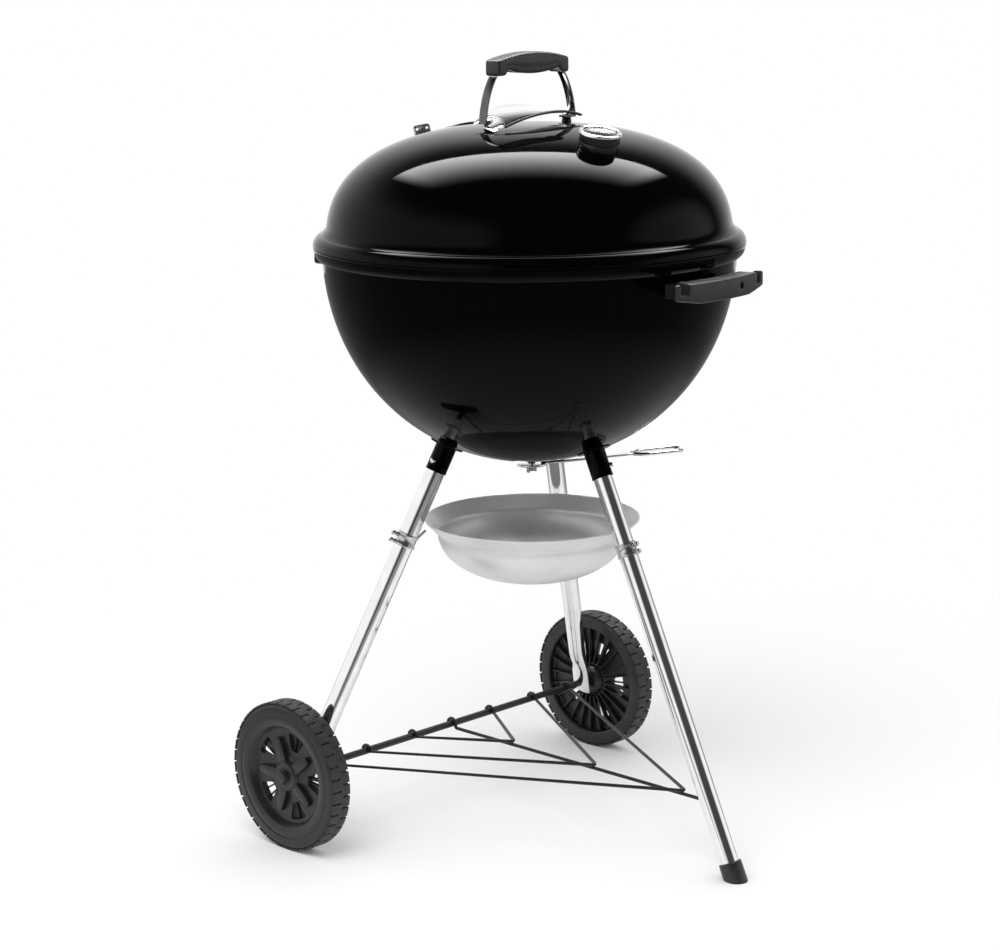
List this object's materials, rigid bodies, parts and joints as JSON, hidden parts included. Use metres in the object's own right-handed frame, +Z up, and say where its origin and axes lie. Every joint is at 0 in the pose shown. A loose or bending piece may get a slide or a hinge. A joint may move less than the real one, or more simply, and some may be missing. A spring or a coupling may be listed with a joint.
{
  "type": "kettle charcoal grill",
  "caption": "Round charcoal kettle grill: domed lid over a deep bowl on tube legs with wheels at one side, an ash pan, a sweeper lever and a low wire rack.",
  "frame": {"origin": "the middle of the object's bounding box, on the ground", "axes": "+Z up; the capped leg points along -Y, the axle runs along X at +Y, and the lid's grip runs along X"},
  "size_m": [0.645, 0.6996, 1.05],
  "materials": {
    "enamel": "high-gloss black porcelain enamel",
    "nylon": "fine-grained black glass-filled nylon",
    "bright_steel": "bright plated steel",
    "steel": "satin plated steel",
    "satin_aluminium": "satin pressed aluminium",
    "black_wire": "black powder coat",
    "wheel_plastic": "black moulded plastic, satin",
    "grate_steel": "plated steel wire",
    "glass": "clear flat glass",
    "dial": "satin white printed plate",
    "pointer": "red painted metal"
  },
  "bodies": {
    "stand": {"bowl_shell": "enamel", "bowl_handle_front": "nylon", "bowl_handle_back": "nylon", "socket_left": "enamel", "leg_left": "bright_steel", "socket_right": "enamel", "leg_right": "bright_steel", "socket_front": "enamel", "leg_front": "bright_steel", "foot_cap": "nylon", "ash_clip_left": "steel", "ash_clip_right": "steel", "ash_clip_front": "steel", "axle_cap_left": "nylon", "axle_cap_right": "nylon", "axle": "black_wire", "rack_inner_left": "black_wire", "rack_inner_right": "black_wire", "rack_middle_left": "black_wire", "rack_middle_right": "black_wire", "rack_outer_left": "black_wire", "rack_outer_right": "black_wire", "rack_spine": "black_wire", "cooking_ledge_1": "steel", "cooking_ledge_2": "steel", "cooking_ledge_3": "steel", "charcoal_ledge_1": "steel", "charcoal_ledge_2": "steel", "charcoal_ledge_3": "steel"},
    "lid": {"lid_shell": "enamel", "lid_vent_rivet": "steel", "thermometer_case": "enamel", "thermometer_stem": "steel", "thermometer_bezel": "bright_steel", "thermometer_glass": "glass", "thermometer_dial": "dial", "thermometer_nut": "steel", "lid_handle_grip": "nylon", "lid_heat_shield": "bright_steel", "lid_handle_strap_left": "bright_steel", "lid_handle_bolt_left": "steel", "lid_handle_strap_right": "bright_steel", "lid_handle_bolt_right": "steel", "lid_hook": "steel"},
    "sweeper": {"sweeper_blades": "steel", "sweeper_shaft": "steel", "sweeper_lever": "bright_steel", "sweeper_pin": "steel"},
    "lid_damper": {"lid_vent_damper": "steel"},
    "gauge_pointer": {"thermometer_pointer": "pointer"},
    "wheel_left": {"wheel_left": "wheel_plastic"},
    "wheel_right": {"wheel_right": "wheel_plastic"},
    "cooking_grate": {"cooking_grate": "grate_steel"},
    "charcoal_grate": {"charcoal_grate": "grate_steel"},
    "ash_catcher": {"ash_catcher": "satin_aluminium"},
    "button_left": {"leg_button_left": "bright_steel"},
    "button_right": {"leg_button_right": "bright_steel"},
    "button_front": {"leg_button_front": "bright_steel"}
  },
  "joints": [
    {"name": "lid_lift", "type": "slide", "parent": "stand", "child": "lid", "axis": [0, 0, 1], "range_m": [0, 0.3]},
    {"name": "lid_damper_turn", "type": "hinge", "parent": "lid", "child": "lid_damper", "pos_m": [0.03992, 0.1839, 0.93674], "axis": [0.079, 0.3169, 0.9451], "range_deg": [-45, 45]},
    {"name": "thermometer_pointer_turn", "type": "hinge", "parent": "lid", "child": "gauge_pointer", "pos_m": [-0.03992, -0.1363, 0.93674], "axis": [-0.0544, -0.2184, 0.9743], "range_deg": [-270, 0]},
    {"name": "sweeper_turn", "type": "hinge", "parent": "stand", "child": "sweeper", "pos_m": [0, 0.0238, 0.5], "axis": [0, 0, 1], "range_deg": [-35, 35]},
    {"name": "wheel_left_spin", "type": "hinge", "parent": "stand", "child": "wheel_left", "pos_m": [-0.3, 0.18567, 0.1016], "axis": [1, 0, 0], "continuous": true},
    {"name": "wheel_right_spin", "type": "hinge", "parent": "stand", "child": "wheel_right", "pos_m": [0.3, 0.18567, 0.1016], "axis": [1, 0, 0], "continuous": true},
    {"name": "cooking_grate_lift", "type": "slide", "parent": "stand", "child": "cooking_grate", "axis": [0, 0, 1], "range_m": [0, 0.02]},
    {"name": "charcoal_grate_lift", "type": "slide", "parent": "stand", "child": "charcoal_grate", "axis": [0, 0, 1], "range_m": [0, 0.12]},
    {"name": "ash_catcher_drop", "type": "slide", "parent": "stand", "child": "ash_catcher", "axis": [0, 0, -1], "range_m": [0, 0.15]},
    {"name": "leg_button_left_press", "type": "slide", "parent": "stand", "child": "button_left", "axis": [0.9299, 0.1582, -0.3321], "range_m": [0, 0.003], "stiffness_N_per_m": 400},
    {"name": "leg_button_right_press", "type": "slide", "parent": "stand", "child": "button_right", "axis": [-0.3063, -0.8921, -0.3321], "range_m": [0, 0.003], "stiffness_N_per_m": 400},
    {"name": "leg_button_front_press", "type": "slide", "parent": "stand", "child": "button_front", "axis": [-0.6099, 0.7211, -0.3288], "range_m": [0, 0.003], "stiffness_N_per_m": 400}
  ]
}
